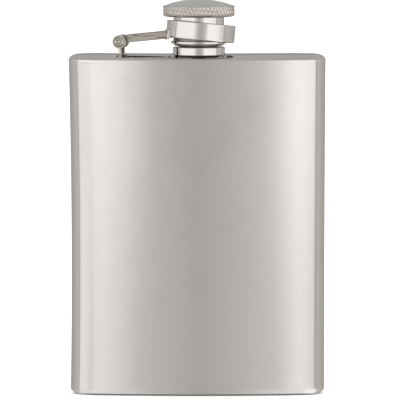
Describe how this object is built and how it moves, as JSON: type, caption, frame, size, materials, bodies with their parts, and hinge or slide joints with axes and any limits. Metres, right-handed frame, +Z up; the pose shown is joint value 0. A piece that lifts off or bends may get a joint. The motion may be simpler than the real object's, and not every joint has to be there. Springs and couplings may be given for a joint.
{
  "type": "hip flask",
  "caption": "Kidney-shaped pocket flask in polished steel, with a knurled screw cap held captive on a hinged arm.",
  "frame": {"origin": "on the resting face, straight under the axis of the neck", "axes": "+Z up along the neck, +X to the right across the broad face, +Y towards the hollow back"},
  "size_m": [0.092, 0.0269, 0.1428],
  "materials": {
    "polished_steel": "mirror-polished stainless steel",
    "satin_steel": "satin stainless steel with a fine turned grain",
    "liner_plastic": "moulded off-white polypropylene",
    "seal_silicone": "grey silicone"
  },
  "bodies": {
    "flask": {"body_sleeve": "polished_steel", "top_plate": "polished_steel", "bottom_plate": "polished_steel", "neck_spout": "satin_steel", "neck_collar": "polished_steel", "hinge_bracket": "polished_steel", "hinge_pin": "satin_steel"},
    "arm": {"cap_arm": "polished_steel", "swivel_ring": "polished_steel"},
    "seal": {"seal_gasket": "seal_silicone"},
    "cap": {"cap_head": "satin_steel", "cap_bush": "polished_steel", "retaining_clip": "satin_steel", "cap_liner": "liner_plastic"}
  },
  "joints": [
    {"name": "arm_swing", "type": "hinge", "parent": "flask", "child": "arm", "pos_m": [-0.0282, 0.0023, 0.1276], "axis": [-0.1908, -0.9816, 0], "range_deg": [0, 157]},
    {"name": "cap_lift", "type": "slide", "parent": "arm", "child": "seal", "axis": [0, 0, 1], "range_m": [0, 0.0024]},
    {"name": "cap_turn", "type": "hinge", "parent": "seal", "child": "cap", "pos_m": [0, 0, 0.135], "axis": [0, 0, 1], "range_deg": [0, 720]}
  ],
  "couplings": [
    {"joint": "cap_lift", "follows": "cap_turn", "m_per_rad": 0.00019098}
  ]
}
